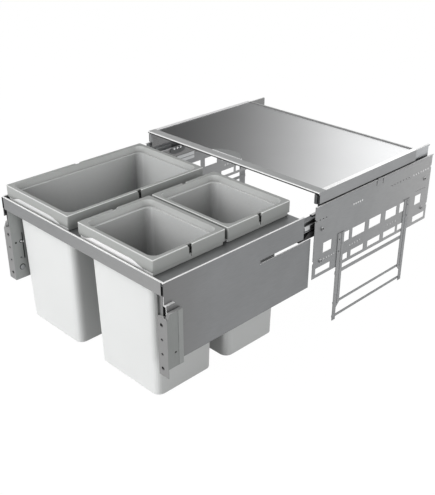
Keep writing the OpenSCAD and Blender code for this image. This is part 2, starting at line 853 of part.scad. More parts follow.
// Collar: clamping frame over the rim, an upturned channel with a notch in each long side
module collar(x, y, length) {
  opening_w = bin_w - 2 * collar_band;
  opening_len = length - 2 * collar_band;
  color(grey_plastic)
    translate([x, y + length / 2 - open_reach, drawer_top])
      difference() {
        linear_extrude(collar_h)
          round_rect(bin_w, length, collar_corner);
        translate([0, 0, -over])
          linear_extrude(collar_h + 2 * over)
            round_rect(opening_w, opening_len, opening_corner);
        translate([0, 0, -over])
          linear_extrude(collar_h + over - lip_wall)
            difference() {
              round_rect(bin_w - 2 * collar_wall, length - 2 * collar_wall,
                collar_corner - collar_wall + play);
              round_rect(opening_w + 2 * lip_wall, opening_len + 2 * lip_wall,
                opening_corner + lip_wall);
            }
        translate([0, 0, -over])
          linear_extrude(rim_h + play + over)
            round_rect(bin_w - 2 * collar_wall, length - 2 * collar_wall,
              collar_corner - collar_wall + play);
        for (s = [0, 1])
          mirror([0, s, 0])
            translate([-bin_w / 2, collar_wall - length / 2 + over, 0])
              rotate([90, 0, 0])
                linear_extrude(collar_wall + 2 * over)
                  arch_outline(0);
        for (s = [-1, 1])
          translate([s * (bin_w / 2 - collar_wall), 0, 0])
            collar_notch();
      }
}

// Waisted notch through a collar's outer wall and the edge of its top band
module collar_notch() {
  last = len(notch_shares) - 1;
  left = [for (s = notch_shares) [-s[1] * notch_w, s[0] * collar_h]];
  right = [for (i = [last : -1 : 0]) [notch_shares[i][1] * notch_w, notch_shares[i][0] * collar_h]];
  foot = notch_shares[0][1] * notch_w;
  head = notch_shares[last][1] * notch_w;
  translate([-collar_wall - over, 0, 0])
    rotate([90, 0, 90])
      linear_extrude(2 * collar_wall + 2 * over)
        polygon(concat([[-foot, -over]], left, [[-head, collar_h + over], [head, collar_h + over]],
          right, [[foot, -over]]));
}

on_side(false) side_plate();  // side_plate_right
on_side(true) side_plate();  // side_plate_left
on_side(false) floor_leg(0);  // leg_front_right
on_side(true) floor_leg(0);  // leg_front_left
on_side(false) floor_leg(1);  // leg_rear_right
on_side(true) floor_leg(1);  // leg_rear_left
on_side(false) leg_tie();  // leg_tie_right
on_side(true) leg_tie();  // leg_tie_left
on_side(false) leg_stays();  // leg_stays_right
on_side(true) leg_stays();  // leg_stays_left
on_side(false) rail_support();  // rail_support_right
on_side(true) rail_support();  // rail_support_left
on_side(false) outer_rail();  // outer_rail_right
on_side(true) outer_rail();  // outer_rail_left
on_side(false) rail_stop();  // rail_stop_right
on_side(true) rail_stop();  // rail_stop_left
on_side(false) middle_rail();  // middle_rail_right
on_side(true) middle_rail();  // middle_rail_left
on_side(false) inner_rail();  // inner_rail_right
on_side(true) inner_rail();  // inner_rail_left
on_side(false) cover_rail();  // cover_rail_right
on_side(true) cover_rail();  // cover_rail_left
cover_sheet();
cover_front_trim();
cover_rear_lip();
cover_grip();
on_side(false) cover_profile();  // cover_profile_right
on_side(true) cover_profile();  // cover_profile_left
on_side(false) carrier_panel();  // carrier_panel_right
on_side(true) carrier_panel();  // carrier_panel_left
carrier_front_band();
carrier_rear_band();
carrier_deck();
on_side(false) door_bracket();  // door_bracket_right
on_side(true) door_bracket();  // door_bracket_left
on_side(false) bracket_adjusters();  // bracket_adjusters_right
on_side(true) bracket_adjusters();  // bracket_adjusters_left
bin(large_x, bin_front, large_len);  // bin_large
bin(small_x, bin_front, small_len);  // bin_small_front
bin(small_x, small_rear_y, small_len);  // bin_small_rear
collar(large_x, bin_front, large_len);  // collar_large
collar(small_x, bin_front, small_len);  // collar_small_front
collar(small_x, small_rear_y, small_len);  // collar_small_rear
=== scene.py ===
# Looks for the pull-out waste bin unit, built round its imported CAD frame.
import math

import bmesh
import bpy
from mathutils import Matrix, Vector


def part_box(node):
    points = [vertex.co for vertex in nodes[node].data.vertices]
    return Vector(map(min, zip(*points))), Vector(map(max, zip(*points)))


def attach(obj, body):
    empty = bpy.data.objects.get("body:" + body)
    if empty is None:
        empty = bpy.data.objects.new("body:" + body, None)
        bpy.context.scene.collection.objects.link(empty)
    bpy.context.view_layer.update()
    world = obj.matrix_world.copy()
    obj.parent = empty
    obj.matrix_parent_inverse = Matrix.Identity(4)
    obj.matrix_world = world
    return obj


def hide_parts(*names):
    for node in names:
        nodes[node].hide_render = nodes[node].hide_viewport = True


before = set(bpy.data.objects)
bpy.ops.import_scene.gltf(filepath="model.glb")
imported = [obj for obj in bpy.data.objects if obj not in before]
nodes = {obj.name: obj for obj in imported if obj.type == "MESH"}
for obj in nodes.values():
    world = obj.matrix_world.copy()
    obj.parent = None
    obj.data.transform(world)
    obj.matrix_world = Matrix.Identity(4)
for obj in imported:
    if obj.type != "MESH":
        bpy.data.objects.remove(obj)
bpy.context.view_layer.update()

MM = 0.001

# Camera, solved from the photograph: place, heading and pitch in degrees, focal length in pixels
CAMERA_AT = (1.2261, -1.2310, 1.0262)
CAMERA_HEADING = 45.33
CAMERA_PITCH = 27.43
FOCAL_PIXELS = 789.4
PHOTO_LONG_SIDE = 495
SENSOR = 36.0
CLIP_NEAR = 0.05
CLIP_FAR = 50


def place_object(name, data):
    thing = bpy.data.objects.new(name, data)
    bpy.context.scene.collection.objects.link(thing)
    return thing


def make_camera():
    data = bpy.data.cameras.new("camera")
    data.sensor_width = SENSOR
    data.lens = FOCAL_PIXELS / PHOTO_LONG_SIDE * SENSOR
    data.clip_start = CLIP_NEAR
    data.clip_end = CLIP_FAR
    camera = place_object("camera", data)
    camera.location = CAMERA_AT
    camera.rotation_euler = (math.radians(90 - CAMERA_PITCH), 0, math.radians(CAMERA_HEADING))
    bpy.context.scene.camera = camera


make_camera()


# Shader helpers
# Samples of the ambient occlusion that finds corners and gaps, where the looks paint shade
HOLLOW_SAMPLES = 6
# A wall looks inwards fully when it turns this far towards the middle
INWARD_SPAN = -10 * MM
# Width over which a mask between two heights runs out, and the solid share of a round spot
SHARP = 0.2 * MM
SPOT_CORE = 0.9


class Shader:
    """A small wrapper that adds nodes to one material or world."""

    def __init__(self, owner, output_kind="ShaderNodeOutputMaterial"):
        self.owner = owner
        owner.use_nodes = True
        self.tree = owner.node_tree
        self.tree.nodes.clear()
        self.output = self.add(output_kind)

    def add(self, kind, **settings):
        node = self.tree.nodes.new(kind)
        for key, value in settings.items():
            setattr(node, key, value)
        return node

    def link(self, source, target):
        self.tree.links.new(source, target)

    def show(self, source):
        """Gives a shader to the output."""
        self.link(source, self.output.inputs["Surface"])

    def coordinate(self, output, axis):
        """One axis of the texture coordinates: Object for places, Normal for directions."""
        coords = self.add("ShaderNodeTexCoord")
        parts = self.add("ShaderNodeSeparateXYZ")
        self.link(coords.outputs[output], parts.inputs[0])
        return parts.outputs[axis]

    def noise(self, stretch, scale, detail, roughness):
        """Noise in object coordinates stretched by stretch, so that grain has a direction."""
        coords = self.add("ShaderNodeTexCoord")
        mapping = self.add("ShaderNodeMapping")
        mapping.inputs["Scale"].default_value = stretch
        self.link(coords.outputs["Object"], mapping.inputs["Vector"])
        noise = self.add("ShaderNodeTexNoise")
        noise.inputs["Scale"].default_value = scale
        noise.inputs["Detail"].default_value = detail
        noise.inputs["Roughness"].default_value = roughness
        self.link(mapping.outputs["Vector"], noise.inputs["Vector"])
        return noise.outputs["Fac"]

    def ramp(self, value, low, high, first=0.0, last=1.0):
        """Maps value from low..high onto first..last, and holds it there beyond them."""
        ramp = self.add("ShaderNodeMapRange")
        ramp.inputs["From Min"].default_value = low
        ramp.inputs["From Max"].default_value = high
        ramp.inputs["To Min"].default_value = first
        ramp.inputs["To Max"].default_value = last
        self.link(value, ramp.inputs["Value"])
        return ramp.outputs["Result"]

    def grade(self, value, stops):
        """Colours value by greys given as (position, tone)."""
        grade = self.add("ShaderNodeValToRGB")
        elements = grade.color_ramp.elements
        for _ in stops[2:]:
            elements.new(0.5)
        for element, (position, tone) in zip(elements, stops):
            element.position = position
            element.color = (tone, tone, tone, 1)
        self.link(value, grade.inputs[0])
        return grade.outputs["Color"]

    def mix(self, factor, first, second):
        """Mixes two colours, or two colour outputs, by factor."""
        mix = self.add("ShaderNodeMix", data_type="RGBA")
        if isinstance(factor, float):
            mix.inputs[0].default_value = factor
        else:
            self.link(factor, mix.inputs[0])
        for socket, value in ((mix.inputs[6], first), (mix.inputs[7], second)):
            if isinstance(value, tuple):
                socket.default_value = (*value, 1)
            else:
                self.link(value, socket)
        return mix.outputs[2]

    def mix_shaders(self, factor, first, second):
        """Mixes two shaders by factor and gives the result to the output."""
        mix = self.add("ShaderNodeMixShader")
        for socket, source in zip(mix.inputs, (factor, first, second)):
            self.link(source, socket)
        self.show(mix.outputs[0])

    def fold(self, operation, masks):
        result = masks[0]
        for mask in masks[1:]:
            node = self.add("ShaderNodeMath", operation=operation)
            self.link(result, node.inputs[0])
            self.link(mask, node.inputs[1])
            result = node.outputs[0]
        return result

    def any_of(self, *masks):
        """The largest of some masks."""
        return self.fold("MAXIMUM", masks)

    def all_of(self, *masks):
        """Some masks multiplied."""
        return self.fold("MULTIPLY", masks)

    def facing(self, axis, sign, low=0.55, high=0.85):
        """1 on faces that look along an axis of the object, 0 on the rest."""
        return self.ramp(self.coordinate("Normal", axis), sign * low, sign * high)

    def place(self, axis, low, high):
        """0 before low and 1 beyond high, along an axis of the object in metres."""
        return self.ramp(self.coordinate("Object", axis), low, high)

    def between(self, axis, low, high):
        """1 between low and high along an axis of the object, 0 beyond."""
        return self.all_of(self.place(axis, low, low + SHARP), self.place(axis, high, high - SHARP))

    def round_spot(self, x, z, radius):
        """1 within radius of a point seen from the front, 0 beyond."""
        coords = self.add("ShaderNodeTexCoord")
        level = self.add("ShaderNodeVectorMath", operation="MULTIPLY")
        level.inputs[1].default_value = (1, 0, 1)
        self.link(coords.outputs["Object"], level.inputs[0])
        away = self.add("ShaderNodeVectorMath", operation="DISTANCE")
        away.inputs[1].default_value = (x, 0, z)
        self.link(level.outputs[0], away.inputs[0])
        return self.ramp(away.outputs["Value"], radius, SPOT_CORE * radius)

    def inwards(self, centre):
        """1 on walls that look towards an upright axis at centre, 0 on those that look away."""
        coords = self.add("ShaderNodeTexCoord")
        offset = self.add("ShaderNodeVectorMath", operation="SUBTRACT")
        offset.inputs[1].default_value = (*centre, 0)
        self.link(coords.outputs["Object"], offset.inputs[0])
        level = self.add("ShaderNodeVectorMath", operation="MULTIPLY")
        level.inputs[1].default_value = (1, 1, 0)
        self.link(offset.outputs[0], level.inputs[0])
        towards = self.add("ShaderNodeVectorMath", operation="DOT_PRODUCT")
        self.link(level.outputs[0], towards.inputs[0])
        self.link(coords.outputs["Normal"], towards.inputs[1])
        return self.ramp(towards.outputs["Value"], 0.0, INWARD_SPAN)

    def hollow(self, reach, low, high):
        """1 deep in corners and narrow gaps, 0 in the open."""
        near = self.add("ShaderNodeAmbientOcclusion", samples=HOLLOW_SAMPLES)
        near.inputs["Distance"].default_value = reach
        return self.ramp(near.outputs["AO"], high, low)

    def bump(self, height, strength, distance):
        bump = self.add("ShaderNodeBump")
        bump.inputs["Strength"].default_value = strength
        bump.inputs["Distance"].default_value = distance
        self.link(height, bump.inputs["Height"])
        return bump.outputs["Normal"]

    def principled(self, metallic, ior):
        shader = self.add("ShaderNodeBsdfPrincipled")
        shader.inputs["Metallic"].default_value = metallic
        shader.inputs["IOR"].default_value = ior
        self.show(shader.outputs[0])
        return shader


def new_shader(name):
    return Shader(bpy.data.materials.new(name))


def grey(tone):
    return (tone, tone, tone)


def shade(colour, factor):
    return tuple(min(1.0, c * factor) for c in colour)


# Directions that faces look in, some with the share at which they begin and end to count
UP = ("Z", 1)
FRONT = ("Y", -1)
RIGHT = ("X", 1)
FLAT_UP = ("Z", 1, 0.97, 0.9)

# Noise as scale, detail and roughness: rolled grain, eroded plastic, and slow unevenness of both
GRAIN = (900, 2.0, 0.6)
SPARK = (1400, 2.0, 0.6)
SHEET_CLOUDS = (9, 3.0, 0.55)
PLASTIC_CLOUDS = (5, 2.0, 0.5)
# Ranges of noise that the looks use
FINE_SPAN = (0.3, 0.7)
CLOUD_SPAN = (0.35, 0.65)

# Directions of the grain: none, pressed sheet along each axis, and brushed sheet
EVEN = (1, 1, 1)
PRESSED_X = (0.05, 1, 1)
PRESSED_Y = (1, 0.05, 1)
PRESSED_Z = (1, 1, 0.05)
BRUSHED_X = (0.03, 1, 1)
BRUSHED_Y = (1, 0.03, 1)

# Sheet: how dark its grain is, where painted shade darkens its gaps, the depth of its grain
GRAIN_SHADE = 0.86
SHEET_HOLLOW = (0.15, 0.75)
GRAIN_DEPTH = 0.05 * MM
STEEL_IOR = 1.45
# Near black, painted as the shade in notches and holes
DEEP_SHADE = grey(0.008)


def sheet_steel(name, colour, grain=EVEN, rough=0.42, metallic=0.9, bright=(), edge=0.9,
                gap=0.035, dark=0.25, fine_share=0.2, relief=0.12, painted=(), glint=None, cloud=0.04,
                fade=None, shine=0.15, notch=None, holes=()):
    """Zinc plated or stainless sheet with fine rolled grain.

    bright lists the directions in which its cut and folded edges get a painted highlight, edge how
    pale it is and shine how metallic they are there; above the height glint the sheet is all painted
    highlight. gap is the width of the gaps that take painted shade, and dark how far they do. painted
    lists more directions of faces that get painted light or shade, each with its own grey. fade is
    painted light that changes slowly: an axis, a start and an end along it, and the grey that the
    sheet reaches there. Front faces take near black painted shade between the two heights of notch,
    and round the holes, each given as x, z and radius.
    """
    s = new_shader(name)
    shader = s.principled(metallic, STEEL_IOR)
    fine = s.noise(grain, *GRAIN)
    cloudy = s.noise(EVEN, *SHEET_CLOUDS)
    tone = s.mix(s.ramp(cloudy, *CLOUD_SPAN), shade(colour, 1 - cloud), shade(colour, 1 + cloud))
    # Painted light that changes slowly along one axis
    if fade:
        axis, start, end, tone_there = fade
        tone = s.mix(s.place(axis, start, end), tone, grey(tone_there))
    tone = s.mix(s.ramp(fine, *FINE_SPAN, 0.0, fine_share), tone, shade(colour, GRAIN_SHADE))
    # Painted shade in gaps and corners
    tone = s.mix(s.hollow(gap, *SHEET_HOLLOW), tone, shade(colour, dark))
    # Painted light and shade on faces by the way they look
    for direction, paint in painted:
        tone = s.mix(s.facing(*direction), tone, grey(paint))
    # Painted highlights on edges and above the glint height
    if bright:
        mask = s.any_of(*(s.facing(*direction) for direction in bright))
        if glint:
            mask = s.any_of(mask, s.place("Z", glint, glint + SHARP))
        tone = s.mix(mask, tone, grey(edge))
        s.link(s.ramp(mask, 0.0, 1.0, metallic, shine), shader.inputs["Metallic"])
    # Painted shade on front faces between two heights and in the holes
    if notch:
        tone = s.mix(s.all_of(s.between("Z", *notch), s.facing(*FRONT)), tone, DEEP_SHADE)
    for x, z, radius in holes:
        tone = s.mix(s.all_of(s.round_spot(x, z, radius), s.facing(*FRONT)), tone, DEEP_SHADE)
    s.link(tone, shader.inputs["Base Color"])
    spread = relief / 2
    s.link(s.ramp(fine, *FINE_SPAN, rough - spread, rough + spread), shader.inputs["Roughness"])
    s.link(s.bump(fine, relief, GRAIN_DEPTH), shader.inputs["Normal"])
    return s.owner


# Rolled trim: colour, how dark its grain is, and how much paler it is at its left end as painted
# light
TRIM_COLOUR = (0.43, 0.44, 0.44)
TRIM_GRAIN_SHADE = 0.8
TRIM_ENDS = (-0.28, 0.28)
TRIM_PALER = 0.4
TRIM_METALLIC = 0.2
TRIM_ROUGH = (0.35, 0.42)
TRIM_RELIEF = 0.1
# Its nose gets a painted highlight where it looks forward and up, and painted shade below that and
# underneath
TRIM_FORWARD = ("Y", -1, 0.25, 0.5)
TRIM_UPWARD = ("Z", 1, 0.3, 0.4)
TRIM_NOT_UPWARD = ("Z", 1, 0.25, 0.15)
TRIM_UNDERNEATH = ("Z", -1, 0.02, 0.12)
TRIM_HIGHLIGHT = grey(0.9)
TRIM_SHADE = grey(0.01)


def rolled_trim(name):
    """The cover's front trim: satin top, a painted highlight along its nose and painted shade
    underneath.
    """
    s = new_shader(name)
    shader = s.principled(TRIM_METALLIC, STEEL_IOR)
    fine = s.noise(BRUSHED_X, *GRAIN)
    tone = s.mix(s.ramp(fine, *FINE_SPAN), TRIM_COLOUR, shade(TRIM_COLOUR, TRIM_GRAIN_SHADE))
    # Painted light: paler at the left end, a painted highlight on the nose and painted shade below it
    tone = s.mix(s.place("X", *TRIM_ENDS), s.mix(TRIM_PALER, tone, TRIM_HIGHLIGHT), tone)
    nose = s.all_of(s.facing(*TRIM_FORWARD), s.facing(*TRIM_UPWARD))
    tone = s.mix(nose, tone, TRIM_HIGHLIGHT)
    below = s.all_of(s.facing(*TRIM_FORWARD), s.facing(*TRIM_NOT_UPWARD))
    tone = s.mix(s.any_of(below, s.facing(*TRIM_UNDERNEATH)), tone, TRIM_SHADE)
    s.link(tone, shader.inputs["Base Color"])
    s.link(s.ramp(fine, *FINE_SPAN, *TRIM_ROUGH), shader.inputs["Roughness"])
    s.link(s.bump(fine, TRIM_RELIEF, GRAIN_DEPTH), shader.inputs["Normal"])
    return s.owner


# Plastic: how far its fine texture lowers and raises its roughness, and its depth
PLASTIC_IOR = 1.46
PLASTIC_SMOOTHER = 0.04
PLASTIC_ROUGHER = 0.06
PLASTIC_RELIEF = 0.1
PLASTIC_DEPTH = 0.08 * MM
# Small plastic parts: unevenness, and where painted shade darkens their gaps
SMALL_SPECK = 0.02
SMALL_HOLLOW = (0.1, 0.8)


def moulded(name, colour, rough, gap=0.03, dark=0.3):
    """Moulded plastic with a fine spark-eroded texture, slight unevenness and painted shade in its
    gaps.
    """
    s = new_shader(name)
    shader = s.principled(0.0, PLASTIC_IOR)
    tone = moulded_tone(s, colour, SMALL_SPECK, gap, dark, *SMALL_HOLLOW)
    finish_moulded(s, shader, tone, rough)
    return s.owner


def moulded_tone(s, colour, speck, gap, dark, low, high):
    cloudy = s.noise(EVEN, *PLASTIC_CLOUDS)
    tone = s.mix(s.ramp(cloudy, *FINE_SPAN), shade(colour, 1 - speck), shade(colour, 1 + speck))
    # Painted shade in gaps and corners
    return s.mix(s.hollow(gap, low, high), tone, shade(colour, dark))


def finish_moulded(s, shader, tone, rough):
    fine = s.noise(EVEN, *SPARK)
    s.link(tone, shader.inputs["Base Color"])
    s.link(s.ramp(fine, *FINE_SPAN, rough - PLASTIC_SMOOTHER, rough + PLASTIC_ROUGHER),
           shader.inputs["Roughness"])
    s.link(s.bump(fine, PLASTIC_RELIEF, PLASTIC_DEPTH), shader.inputs["Normal"])


# Painted shade in the notches of the bins and collars: half its width, how far below a collar's top
# it
# starts, and the height at which it ends
NOTCH_REACH = 3.6 * MM
NOTCH_TOP = 4 * MM
NOTCH_FOOT = 0.3165
BLUR = MM


def middle_of(name):
    """Centre of a node seen from above."""
    low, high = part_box(name)
    return ((low[0] + high[0]) / 2, (low[1] + high[1]) / 2)


def beside_notch(s, name):
    """1 beside the notches in the middle of a bin's or a collar's sides, down to their foot."""
    middle = middle_of(name)[1]
    return s.all_of(s.between("Y", middle - NOTCH_REACH, middle + NOTCH_REACH),
                    s.place("Z", NOTCH_FOOT, NOTCH_FOOT + BLUR))


def top_of(name):
    """Box round a node's uppermost vertices."""
    points = [v.co for v in nodes[name].data.vertices]
    highest = max(p.z for p in points)
    top = [p for p in points if p.z > highest - SHARP]
    return ([min(p[k] for p in top) for k in range(3)], [max(p[k] for p in top) for k in range(3)])


# Bins: colours outside, the sides' darker copy being painted shade, and each bin's own looks. lip
# is its front above the skirt, lit as painted light; inside is the inner colour, set lighter or
# darker as painted light and shade; corner is how dark the painted shade in its corners gets. front
# and side are the reach of the painted shade there, how dark it is, and the range in which it grows
BIN_COLOUR = (0.83, 0.84, 0.835)
BIN_SIDE_SHADED = (0.59, 0.60, 0.595)
BIN_SPECK = 0.01
BIN_ROUGH = 0.45
OPEN_FRONT = (8 * MM, 0.3, 0.15, 0.7)
BIN_LOOKS = {
    "bin_large": {
        "lip": (0.83, 0.84, 0.835),
        "inside": (0.725, 0.735, 0.73),
        "corner": 0.02,
        "front": OPEN_FRONT,
        "side": (0.22, 1.0, 0.15, 0.85),
    },
    "bin_small_front": {
        "lip": (1.0, 1.0, 1.0),
        "inside": (0.84, 0.85, 0.845),
        "corner": 0.14,
        "front": OPEN_FRONT,
        "side": (0.22, 0.72, 0.15, 0.85),
    },
    "bin_small_rear": {
        "lip": (1.0, 1.0, 1.0),
        "inside": (0.86, 0.87, 0.865),
        "corner": 0.14,
        "front": (0.15, 0.4, 0.15, 0.9),
        "side": (0.22, 0.9, 0.15, 0.85),
    },
}
# Inside of a bin: unevenness, its painted shade, its left wall's painted shade, and the reach and
# range of the painted shade in its corners
INSIDE_SPECK = 0.02
INSIDE_SHADE = (0.22, 0.45, 0.15, 0.85)
LEFT_WALL_SHADE = 0.06
CORNER = (0.16, 0.35, 0.88)
# The bins' skirts show below the collars between these heights
SKIRT_LOW = 0.300
SKIRT_HIGH = 0.310
SKIRT_BLUR = 0.4 * MM
LIP_FORWARD = ("Y", -1, 0.5, 0.9)
OUTER_SIDES = (("X", 1, 0.5, 0.95), ("X", -1, 0.5, 0.95))
LEFT_WALL = ("X", 1, 0.3, 0.9)

COLLAR_COLOUR = (0.40, 0.41, 0.40)
COLLAR_INSIDE = (0.62, 0.63, 0.62)
COLLAR_HIGHLIGHT = (0.84, 0.85, 0.84)
COLLAR_SPECK = 0.02
COLLAR_ROUGH = 0.42
# Painted shade in the collars' gaps, outside and inside
COLLAR_SHADE = (0.03, 0.3, 0.1, 0.8)
COLLAR_INSIDE_SHADE = (0.1, 0.5, 0.15, 0.85)
# Width of the painted highlight along a collar's upper outer edge, on its top and on its side
LINE_TOP = 2.2 * MM
LINE_SIDE = 1.3 * MM
LINE_BLUR = 0.1 * MM
NOT_FLAT = ("Z", 1, 0.6, 0.4)
# Share of looking inwards at which a collar's face begins and ends to count as its outside
OUTWARDS = (0.9, 0.5)


def bin_material(name):
    """Pale plastic with painted light and shade: darker sides, a lit lip and dark notches; inside,
    painted shade grows towards the corners and the floor.
    """
    looks = BIN_LOOKS[name]
    s = new_shader(f"light_grey_{name}")
    shader = s.principled(0.0, PLASTIC_IOR)
    # Front faces: painted shade in their gaps, and a lit lip above the skirt as painted light
    front = moulded_tone(s, BIN_COLOUR, BIN_SPECK, *looks["front"])
    above_skirt = s.place("Z", SKIRT_LOW, SKIRT_LOW + BLUR)
    front = s.mix(s.all_of(above_skirt, s.facing(*LIP_FORWARD)), front, looks["lip"])
    # Side faces: a darker copy as painted shade, with more painted shade in their gaps
    side = moulded_tone(s, BIN_SIDE_SHADED, BIN_SPECK, *looks["side"])
    sideways = s.any_of(*(s.facing(*direction) for direction in OUTER_SIDES))
    outside = s.mix(sideways, front, side)
    skirt = s.all_of(above_skirt, s.place("Z", SKIRT_HIGH, SKIRT_HIGH - SKIRT_BLUR), sideways)
    outside = s.mix(skirt, outside, COLLAR_COLOUR)
    # Painted shade beside the notches
    outside = s.mix(s.all_of(beside_notch(s, name), sideways), outside, DEEP_SHADE)
    # Inside: painted shade in the gaps, on the left wall and deep in its corners
    inside = moulded_tone(s, looks["inside"], INSIDE_SPECK, *INSIDE_SHADE)
    left_wall = s.facing(*LEFT_WALL)
    inside = s.mix(left_wall, inside, s.mix(LEFT_WALL_SHADE, inside, grey(0.0)))
    corner = s.all_of(s.hollow(*CORNER), left_wall)
    inside = s.mix(corner, inside, shade(looks["inside"], looks["corner"]))
    within = s.any_of(s.inwards(middle_of(name)), s.facing(*UP))
    finish_moulded(s, shader, s.mix(within, outside, inside), BIN_ROUGH)
    return s.owner


def collar_material(name):
    """Grey plastic with a paler lip inside, a painted highlight along its upper edge and painted
    shade in its notches.
    """
    s = new_shader(f"grey_{name}")
    shader = s.principled(0.0, PLASTIC_IOR)
    # Painted shade in its gaps, outside and inside
    outside = moulded_tone(s, COLLAR_COLOUR, COLLAR_SPECK, *COLLAR_SHADE)
    inside = moulded_tone(s, COLLAR_INSIDE, COLLAR_SPECK, *COLLAR_INSIDE_SHADE)
    inwards = s.inwards(middle_of(name))
    tone = s.mix(inwards, outside, inside)
    low, high = top_of(name)
    # Painted highlight along the upper outer edge
    right = high[0] - LINE_TOP
    front = low[1] + LINE_TOP
    foot = high[2] - LINE_SIDE
    rim = s.any_of(s.place("X", right, right + LINE_BLUR), s.place("Y", front, front - LINE_BLUR))
    tone = s.mix(s.all_of(rim, s.place("Z", foot, foot + LINE_BLUR)), tone, COLLAR_HIGHLIGHT)
    # Painted shade in the notches
    notch_top = high[2] - NOTCH_TOP
    notch = s.all_of(beside_notch(s, name), s.place("Z", notch_top, notch_top - SHARP),
                     s.facing(*NOT_FLAT), s.ramp(inwards, *OUTWARDS))
    tone = s.mix(notch, tone, DEEP_SHADE)
    finish_moulded(s, shader, tone, COLLAR_ROUGH)
    return s.owner


def both(*names):
    return [f"{name}_{side}" for name in names for side in ("right", "left")]


def wear(material, names):
    for name in names:
        data = nodes[name].data
        data.materials.clear()
        data.materials.append(material)


# Rounding of edges: steps, the angle from which an edge is rounded, and vertices that are joined
BEVEL_STEPS = 2
NODE_ANGLE = math.radians(40)
PIECE_ANGLE = math.radians(30)
WELD = 0.02 * MM


def add_bevel(thing, width, angle):
    bevel = thing.modifiers.new("bevel", "BEVEL")
    bevel.width = width
    bevel.segments = BEVEL_STEPS
    bevel.limit_method = "ANGLE"
    bevel.angle_limit = angle


def soften(names, width):
    """Rounds the edges of sharp CAD solids a little, so that they catch the light."""
    for name in names:
        weld = nodes[name].modifiers.new("weld", "WELD")
        weld.merge_threshold = WELD
        add_bevel(nodes[name], width, NODE_ANGLE)


# Heights above which the panels and the front band are all painted highlight, and between which
# the panels' front edges lie in the shade of the band, painted on them
PANEL_GLINT = 0.3087
BAND_GLINT = 0.3090
PANEL_NOTCH = (0.2815, 0.3080)
# Slow changes of painted light along a sheet: axis, start, end and the grey at the end
PLATE_FADE = ("Y", 0.15, 0.46, 0.41)
PANEL_FADE = ("Y", -0.3, -0.43, 0.20)
BAND_FADE = ("X", -0.3, 0.28, 0.36)
# Screw holes of a door bracket, painted dark as their shade: distance from its outer face, heights
# from its foot, and radii
HOLE_INSET = 16 * MM
HOLE_RADII = {17.5 * MM: 4.3 * MM, 50.5 * MM: 3.1 * MM, 83.5 * MM: 3.1 * MM, 116.5 * MM: 4.3 * MM}


def door_holes(name, side):
    low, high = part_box(name)
    x = high[0] - HOLE_INSET if side > 0 else low[0] + HOLE_INSET
    return [(x, low[2] + height, radius) for height, radius in HOLE_RADII.items()]


# Zinc plated sheet; each left-hand copy has its own painted light and shade
PLATE_GREY = (0.31, 0.315, 0.32)
PANEL_GREY = (0.235, 0.24, 0.245)
RAIL_GREY = (0.42, 0.43, 0.44)
plate_zinc = sheet_steel("plate_zinc", PLATE_GREY, PRESSED_Y, 0.5, 0.7, [UP], 0.95,
                         fade=PLATE_FADE)
plate_left = sheet_steel("plate_left", PLATE_GREY, PRESSED_Y, 0.5, 0.7, [UP], 0.95, dark=0.8,
                         fade=PLATE_FADE)
leg_zinc = sheet_steel("leg_zinc", (0.36, 0.365, 0.37), PRESSED_Z, 0.6, 0.3, dark=0.5)
panel_zinc = sheet_steel("panel_zinc", PANEL_GREY, PRESSED_Y, 0.42, 0.9, [UP, FRONT], 1.0,
                         glint=PANEL_GLINT, fade=PANEL_FADE, notch=PANEL_NOTCH)
panel_left = sheet_steel("panel_left", PANEL_GREY, PRESSED_Y, 0.42, 0.9, [UP, FRONT], 1.0,
                         gap=0.01, dark=0.6, glint=PANEL_GLINT, notch=PANEL_NOTCH)
deck_zinc = sheet_steel("deck_zinc", (0.34, 0.345, 0.35), PRESSED_Y, 0.4, 0.8, gap=0.02, dark=0.08)
band_zinc = sheet_steel("band_zinc", (0.28, 0.285, 0.29), PRESSED_X, 0.42, 0.9, [UP], 1.0,
                        glint=BAND_GLINT, fade=BAND_FADE)
# The brackets' front faces are lighter as painted light, and the left bracket is a lighter copy as
# painted light
bracket_zinc = sheet_steel("bracket_zinc", (0.26, 0.27, 0.265), PRESSED_Z, 0.5, 0.7, [UP], 0.5,
                           gap=0.008, dark=0.03, painted=[(FRONT, 0.31)],
                           holes=door_holes("door_bracket_right", 1))
bracket_left = sheet_steel("bracket_left", (0.35, 0.36, 0.355), PRESSED_Z, 0.5, 0.6, [UP], 0.5,
                           gap=0.008, dark=0.03, painted=[(FRONT, 0.31)],
                           holes=door_holes("door_bracket_left", -1))
step_zinc = sheet_steel("step_zinc", (0.30, 0.31, 0.305), PRESSED_Z, 0.5, 0.7)
slide_zinc = sheet_steel("slide_zinc", (0.62, 0.63, 0.64), BRUSHED_Y, 0.4, 0.6, dark=0.85)
# Rails and the cover's profiles; rail_left's right-facing faces are darker as painted shade, and the
# left profile is a darker copy than the right as painted light
rail_steel = sheet_steel("rail_steel", RAIL_GREY, BRUSHED_Y, 0.3, 0.9, [UP], 0.85)
rail_left = sheet_steel("rail_left", RAIL_GREY, BRUSHED_Y, 0.3, 0.9, [UP], 0.85, dark=0.8,
                        painted=[(RIGHT, 0.21)])
track_steel = sheet_steel("track_steel", (0.20, 0.205, 0.21), BRUSHED_Y, 0.3, 0.9)
profile_left = sheet_steel("profile_left", (0.29, 0.295, 0.30), BRUSHED_Y, 0.42, 0.9, [UP], 1.0)
profile_right = sheet_steel("profile_right", PLATE_GREY, BRUSHED_Y, 0.42, 0.9, [UP], 1.0,
                            shine=0.9)
adjuster_steel = sheet_steel("adjuster_steel", (0.40, 0.41, 0.42), rough=0.3)
ball_steel = sheet_steel("ball_steel", (0.97, 0.97, 0.97), rough=0.15, metallic=1.0, dark=0.97,
                         fine_share=0.02, relief=0.02, cloud=0.01)
